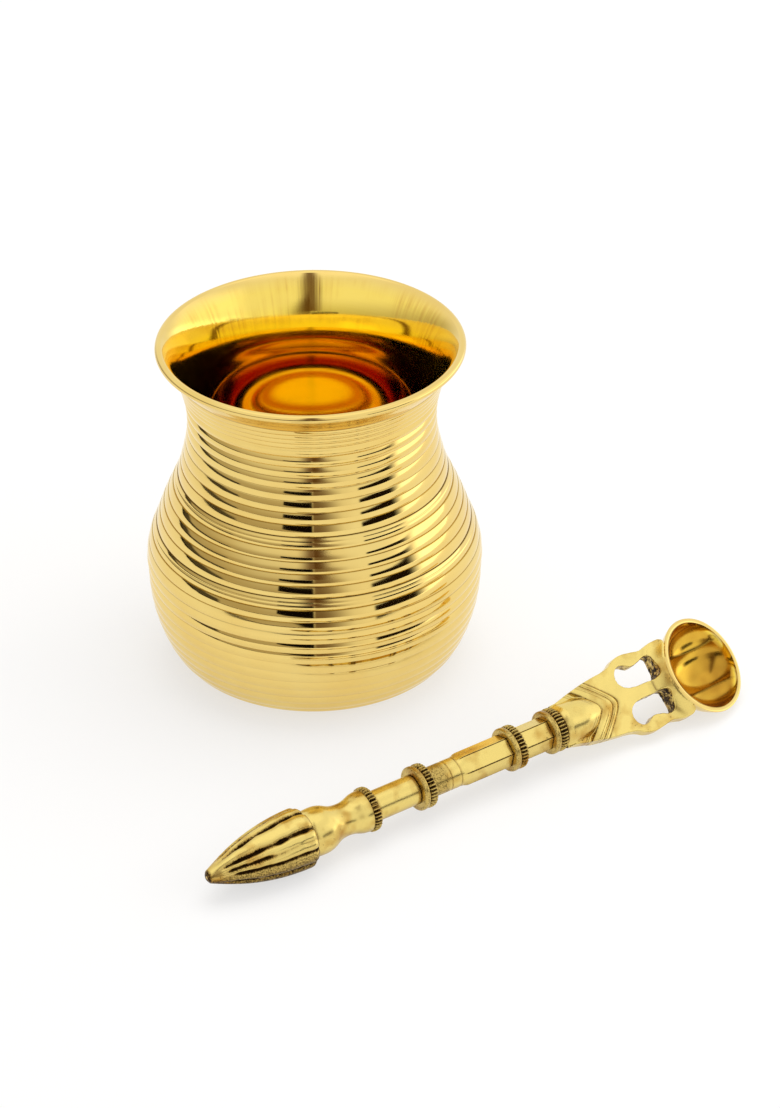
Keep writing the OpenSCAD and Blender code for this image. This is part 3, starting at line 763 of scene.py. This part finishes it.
# Head: a domed boss, two V-shaped bands and a plate with two windows, cast in one piece. All from the end of the
# handle's last ring: along, across
head = {
    "edge": ((0, 4.9), (2, 5.3), (5, 6.0), (9, 6.85), (13, 7.4), (16.5, 7.75), (18.6, 8.3), (20.4, 9.25), (22.6, 9.7),
             (25.4, 9.4), (28.2, 9.0), (29.6, 9.3), (31.6, 9.7), (33.4, 9.3)),
    "window": ((18.9, 4.5), (19.3, 6.2), (20.5, 7.25), (22.0, 7.2), (23.2, 6.55), (24.0, 6.2), (26.0, 6.5),
               (28.6, 7.2), (29.3, 6.8), (29.4, 4.6), (29.3, 2.3), (28.8, 1.7), (25.6, 1.6), (22.6, 1.65),
               (20.6, 2.1), (19.4, 3.1)),
    "windowBox": ((18, 30.2), (1, 7.8)),
    "halfThick": 1.5, "rootThick": 0.35, "rootRun": (0.3, 2.5), "rootTarnish": 0.8, "rootDark": (0.1, 0.8),
    "slant": 1.1, "blunt": 1.7,
    "bossRadius": 5.0, "bossEnd": 3.9, "bossTaper": (5, 11.5), "shoulder": 0.9, "shoulderRun": (-0.8, 2),
    # Each band: from, to, height along its middle, height at its sides, crown
    "bands": ((10.8, 14.7, 3.15, 2.1, 0.35), (14.7, 16.5, 2.05, 1.75, 0.175)), "bandSide": 7.2,
    "step": 0.4, "crease": 0.24, "creaseAt": 0.6,       # share of the step
    "creaseWidth": 0.26, "creaseSides": 0.35, "creaseRun": (5.5, 1), "creaseShade": 0.65,
    "scores": (9.2, 9.9, 13.2, 13.9, 15.6), "scoreDepth": 0.05, "scoreWidth": 0.13, "scoreRun": (0.8, 2.2),
    "scoreTarnish": 0.6,
    "rampFrom": 17, "rampTo": 12.2, "rampCurve": 2.4, "rimGap": 0.05, "seatReach": 0.15, "sink": 0.2,
    "uneven": 0.1, "unevenRate": 0.3,
    # The windows' walls were left rough, most of all next to the bowl
    "roughWall": 0.22, "roughRates": (1.1, 2.6), "fineRough": 0.6, "roughFrom": (27.5, 29), "smoothWall": 0.25,
    "wallTarnish": 0.38, "endTarnish": 0.22, "biteTarnish": 0.5, "seed": (3, 1, 8),
    "voxel": 0.15, "arcSteps": 6, "smoothing": 4,
}


def headTop(h, u):
    # Height of the cast face above the spoon's axis, and how dark it is there
    v = h + head["slant"] * (hypot(u, head["blunt"]) - head["blunt"])
    plate = between(head["rootThick"], head["halfThick"], smooth(*head["rootRun"], h))
    r = between(head["bossRadius"], head["bossEnd"], smooth(*head["bossTaper"], h))
    r -= head["shoulder"] * (1 - smooth(*head["shoulderRun"], h))
    side = min(1, (u / head["bandSide"]) ** 2)
    high = max(plate, sqrt(max(r * r - u * u, 0.05)))
    dark = head["rootTarnish"] * (1 - smooth(*head["rootDark"], h))
    tips, lowers = [], []
    for start, tip, top, edge, crown in head["bands"]:
        tips.append(start)
        lowers.append(max(plate, between(top, edge, side) - crown * (2 * (v - start) / (tip - start) - 1) ** 2))
    for tip, lower in zip(tips + [head["bands"][-1][1]], lowers + [plate]):
        high += (lower - high) * smooth(tip - head["step"], tip + head["step"], v)
        # Each crease dips, and is darkened with a painted shadow line
        crease = exp(-((v - tip - head["step"] * head["creaseAt"]) / head["creaseWidth"]) ** 2)
        high -= head["crease"] * crease * between(head["creaseSides"], 1, smooth(*head["creaseRun"], abs(u)))
        dark = max(dark, head["creaseShade"] * crease)
    for line in head["scores"]:
        score = exp(-((v - line) / head["scoreWidth"]) ** 2) * smooth(*head["scoreRun"], abs(u))
        high -= head["scoreDepth"] * score
        dark = max(dark, head["scoreTarnish"] * score)
    return high, dark


def flatCurve(loops, halfThick):
    curve = bpy.data.curves.new("headOutline", "CURVE")
    curve.dimensions, curve.fill_mode, curve.extrude = "2D", "BOTH", halfThick
    for loop in loops:
        spline = curve.splines.new("BEZIER")
        spline.bezier_points.add(len(loop) - 1)
        for point, (x, y) in zip(spline.bezier_points, loop):
            point.co = (x, y, 0)
            point.handle_left_type = point.handle_right_type = "AUTO"
        spline.use_cyclic_u = True
    return bpy.data.objects.new("headOutline", curve)


def meshed(thing):
    scene.collection.objects.link(thing)
    mesh = bpy.data.meshes.new_from_object(thing.evaluated_get(bpy.context.evaluated_depsgraph_get()))
    bpy.data.objects.remove(thing)
    return mesh


def mirrored(points):
    return [(h, -u) for h, u in reversed(points)]


def makeHead():
    start = reach("pierced_head")[0]
    ballAt, ballUp, radius = bowl["centreAt"] - start, bowl["centreUp"], bowl["radius"]
    # Both edges, and the arc round the bowl that joins them
    farEdge, window, arcSteps = list(head["edge"]), list(head["window"]), head["arcSteps"]
    endAngle = atan2(farEdge[-1][1], ballAt - farEdge[-1][0])
    arc = [(ballAt - radius * cos(endAngle * i / arcSteps), radius * sin(endAngle * i / arcSteps))
           for i in range(arcSteps - 1, -arcSteps, -1)]
    rim = farEdge + arc + mirrored(farEdge)
    slab = meshed(flatCurve([rim, window, mirrored(window)], head["halfThick"]))
    cast = bpy.data.objects.new("headCast", slab)
    remesh = cast.modifiers.new("grain", "REMESH")
    remesh.mode, remesh.voxel_size = "VOXEL", head["voxel"]
    bm = bmesh.new()
    bm.from_mesh(meshed(cast))
    recess = bm.verts.layers.float.new("recess")
    lean = radians(bowl["lean"])
    shift = Vector(head["seed"])
    coarse, fine = head["roughRates"]
    (boxStart, boxEnd), (boxIn, boxOut) = head["windowBox"]
    for v in bm.verts:
        h, u, n = v.co
        high, dark = headTop(h, u)
        far = hypot(h - ballAt, u)
        # Up to the bowl's rim on the upper face only
        rimUp = ballUp - (bowl["rimBelow"] + (h - ballAt) * sin(lean)) / cos(lean) - head["rimGap"]
        if n > 0:
            near = min(max((head["rampFrom"] - far) / (head["rampFrom"] - head["rampTo"]), 0), 1)
            high += (rimUp - high) * near ** head["rampCurve"]
        inWindow = abs(v.normal.z) < 0.5 and boxStart < h < boxEnd and boxIn < abs(u) < boxOut
        high += head["uneven"] * noise.noise(Vector((h, u, n)) * head["unevenRate"])
        v.co.z = n / head["halfThick"] * high
        if far < radius + head["seatReach"]:
            seat = sqrt(max((radius - head["sink"]) ** 2 - (v.co.z - ballUp) ** 2, 1)) / far
            v.co.x, v.co.y = ballAt + (h - ballAt) * seat, u * seat
        elif inWindow:
            bite = noise.noise(v.co * coarse + shift) + head["fineRough"] * noise.noise(v.co * fine)
            end = smooth(*head["roughFrom"], h)
            v.co += v.normal * head["roughWall"] * bite * between(head["smoothWall"], 1, end)
            dark = max(dark, head["wallTarnish"] + head["endTarnish"] * end + head["biteTarnish"] * bite)
        v[recess] = dark
    for _ in range(head["smoothing"]):
        bmesh.ops.smooth_vert(bm, verts=bm.verts, factor=0.5, use_axis_x=True, use_axis_y=True, use_axis_z=True)
    bmesh.ops.recalc_face_normals(bm, faces=bm.faces)
    place = onSpoon @ Matrix.Translation((start, 0, 0))
    finishPiece("piercedHead", bm, place, "spoon", "pierced_head", "cast_brass", sharp=75)


makeHead()


# Studio: a white floor, soft light from above and from the right, and cards that only the brass mirrors

studio = {
    "floorSize": 4, "floorDrop": 0.05 * mm, "floorColour": "#f4f2f0", "floorGlow": 0.62, "mirroredGlow": 0.62,
    "skyFill": 0.7,
    "flagDistance": 0.7, "flagSpacing": 0.02, "flagSteps": 24,
}
# The ones named Shade are dark cloth, such as what stands round the camera and shows as dashes on the ribs, and the
# ones named Glow are bright. Directions are degrees round the pot from the camera's side and degrees up. tops: how
# much of the height each side has. soft: how far each side and the top fade
flags = (
    {"name": "cameraShade", "sides": (-24, 0.4), "up": (15.5, 0.5), "tops": (0.4, 1), "soft": (0.02, 0.015, 0.06),
     "tone": "#100a05", "thick": 1},
    {"name": "sleeveShade", "sides": (0.2, 26), "up": (1, 36), "tops": (0.9, 0.3), "soft": (0.01, 0.9, 0.2),
     "tone": "#5c3f1e", "thick": 0.8},
    {"name": "overheadShade", "sides": (-13, 14), "up": (16, 74), "tops": (1, 1), "soft": (0.45, 0.45, 0.05),
     "tone": "#5c3308", "thick": 0.88},
    {"name": "rightShade", "sides": (38, 82), "up": (2, 15), "tops": (0.7, 1), "soft": (0.03, 0.35, 0.1),
     "tone": "#1a1006", "thick": 1},
    {"name": "leftShade", "sides": (-138, -61), "up": (1.2, 6), "tops": (0.45, 1), "soft": (0.12, 0.03, 0.15),
     "tone": "#140d06", "thick": 0.86},
    {"name": "tableShade", "sides": (-150, 0.4), "up": (0.2, 1.4), "tops": (1, 1), "soft": (0.1, 0.01, 0.3),
     "tone": "#1a1006", "thick": 1},
    {"name": "roomShade", "sides": (-160, 34), "up": (0, 29), "tops": (0.62, 0.62), "soft": (0.2, 0.15, 0.4),
     "tone": "#7f6410", "thick": 0.64},
    {"name": "sillGlow", "sides": (54, 146), "up": (1, 20), "tops": (0.7, 0.7), "soft": (0.25, 0.25, 0.2),
     "tone": "#ffffff", "thick": 1, "strength": 1.8},
    {"name": "windowGlow", "sides": (52, 140), "up": (3, 56), "tops": (0.78, 0.78), "soft": (0.22, 0.25, 0.2),
     "tone": "#ffffff", "thick": 1, "strength": 1.22},
    {"name": "overheadGlow", "sides": (-187, 187), "up": (90, 52), "tops": (0.75, 0.75), "soft": (0.01, 0.01, 0.2),
     "tone": "#ffffff", "thick": 1, "strength": 1.2},
)


def makeWorld():
    world = bpy.data.worlds.new("studioSky")
    scene.world = world
    world.use_nodes = True
    tree = world.node_tree
    tree.nodes.clear()
    fill = addNode(tree, "ShaderNodeBackground", {"Color": (1, 1, 1, 1), "Strength": studio["skyFill"]})
    white = addNode(tree, "ShaderNodeBackground", {"Color": (1, 1, 1, 1), "Strength": 1})
    # White to the eye and in the brass, dimmer as light
    path = addNode(tree, "ShaderNodeLightPath").outputs
    seen = path["Is Camera Ray"]
    for ray in ("Is Glossy Ray", "Is Transmission Ray"):
        seen = addNode(tree, "ShaderNodeMath", {0: seen, 1: path[ray]}, operation="MAXIMUM").outputs[0]
    mix = addNode(tree, "ShaderNodeMixShader", {0: seen, 1: fill.outputs[0], 2: white.outputs[0]})
    addNode(tree, "ShaderNodeOutputWorld", {"Surface": mix.outputs[0]})


def stageMesh(name, bm, material):
    mesh = bpy.data.meshes.new(name)
    bm.to_mesh(mesh)
    bm.free()
    mesh.materials.append(material)
    thing = bpy.data.objects.new(name, mesh)
    scene.collection.objects.link(thing)
    return thing


def makeFloor():
    bm = bmesh.new()
    bmesh.ops.create_grid(bm, x_segments=1, y_segments=1, size=studio["floorSize"] / 2,
                          matrix=Matrix.Translation((0, 0, -studio["floorDrop"])))
    # White card: matt, and bright enough to the eye to run into the backdrop
    material, tree, shader = newMaterial("whiteCard")
    tree.nodes.remove(shader)
    matt = addNode(tree, "ShaderNodeBsdfDiffuse", {"Color": linear(studio["floorColour"])})
    glow = addNode(tree, "ShaderNodeEmission", {"Color": (1, 1, 1, 1), "Strength": 1})
    # Only part of the glow, to the eye and in the brass, so that the object's shadow shows
    path = addNode(tree, "ShaderNodeLightPath").outputs
    seen = addNode(tree, "ShaderNodeMath", {0: path["Is Camera Ray"], 1: studio["floorGlow"]}, operation="MULTIPLY")
    through = addNode(tree, "ShaderNodeMath", {
        0: path["Is Glossy Ray"], 1: path["Is Transmission Ray"]}, operation="MAXIMUM")
    seen = addNode(tree, "ShaderNodeMath", {
        0: through.outputs[0], 1: studio["mirroredGlow"], 2: seen.outputs[0]}, operation="MULTIPLY_ADD")
    mix = addNode(tree, "ShaderNodeMixShader", {0: seen.outputs[0], 1: matt.outputs[0], 2: glow.outputs[0]})
    tree.links.new(mix.outputs[0], tree.nodes["Material Output"].inputs["Surface"])
    ground = stageMesh("studioFloor", bm, material)


def makeFlags():
    for number, look in enumerate(flags):
        far = studio["flagDistance"] + studio["flagSpacing"] * number
        softLeft, softRight, softTop = look["soft"]
        bm = bmesh.new()
        bmesh.ops.create_grid(bm, x_segments=studio["flagSteps"], y_segments=studio["flagSteps"], size=0.5)
        veil = bm.verts.layers.float.new("veil")
        for v in bm.verts:
            x, y = v.co.x + 0.5, v.co.y + 0.5
            top = between(*look["tops"], x)
            sides = smooth(0, softLeft, x) * (1 - smooth(1 - softRight, 1, x))
            v[veil] = look["thick"] * sides * (1 - smooth(top - softTop, top + softTop, y))
            turn, rise = radians(between(*look["sides"], x)), radians(between(*look["up"], y))
            v.co = far * Vector((sin(turn) * cos(rise), -cos(turn) * cos(rise), sin(rise)))
        # Plain cloth or card, dark or bright by itself, thinning out to nothing at its edges
        material, tree, shader = newMaterial(look["name"] + "Cloth")
        tree.nodes.remove(shader)
        cloth = addNode(tree, "ShaderNodeEmission", {
            "Color": linear(look["tone"]), "Strength": look.get("strength", 1)})
        clear = addNode(tree, "ShaderNodeBsdfTransparent")
        thick = addNode(tree, "ShaderNodeAttribute", attribute_name="veil").outputs["Fac"]
        mix = addNode(tree, "ShaderNodeMixShader", {0: thick, 1: clear.outputs[0], 2: cloth.outputs[0]})
        tree.links.new(mix.outputs[0], tree.nodes["Material Output"].inputs["Surface"])
        flag = stageMesh(look["name"], bm, material)
        flag.visible_camera = flag.visible_diffuse = flag.visible_shadow = False


lamps = (
    # name, place, aimed at, width and height in metres, watts
    ("softboxTop", (0.1, 0.2, 1.1), (0.02, 0, 0), (1.0, 1.0), 6),
    ("softboxRight", (1.2, 0.1, 0.4), (0, 0, 0.1), (1.7, 0.75), 9),
)


def makeLamps():
    for name, place, target, size, power in lamps:
        data = bpy.data.lights.new(name, "AREA")
        data.shape, data.size, data.size_y, data.energy = "RECTANGLE", *size, power
        lamp = bpy.data.objects.new(name, data)
        lamp.location = place
        lamp.rotation_euler = (Vector(target) - Vector(place)).to_track_quat("-Z", "Y").to_euler()
        lamp.visible_glossy = False
        scene.collection.objects.link(lamp)


# The photograph's camera: degrees, millimetres, and its focal length and long side in pixels
view = {"elevation": 32.0, "roll": -0.475, "distance": 852.6, "lookAt": (17.82, 0, 25.2),
        "focalPixels": 3591, "longSide": 1108, "sensor": 36, "clip": (0.05, 10)}


def makeCamera():
    data = bpy.data.cameras.new("camera")
    data.sensor_width = view["sensor"]
    data.lens = view["sensor"] * view["focalPixels"] / view["longSide"]
    data.clip_start, data.clip_end = view["clip"]
    camera = bpy.data.objects.new("camera", data)
    e, roll = radians(view["elevation"]), radians(view["roll"])
    back, up, right = Vector((0, -cos(e), sin(e))), Vector((0, sin(e), cos(e))), Vector((1, 0, 0))
    rolledRight = cos(roll) * right + sin(roll) * up
    rolledUp = cos(roll) * up - sin(roll) * right
    place = (Vector(view["lookAt"]) + back * view["distance"]) * mm
    camera.matrix_world = Matrix.Translation(place) @ Matrix((rolledRight, rolledUp, back)).transposed().to_4x4()
    scene.collection.objects.link(camera)
    scene.camera = camera


makeWorld()
makeFloor()
makeFlags()
makeLamps()
makeCamera()
print("studio: floor, sky,", len(flags), "flags,", len(lamps), "lamps, camera")
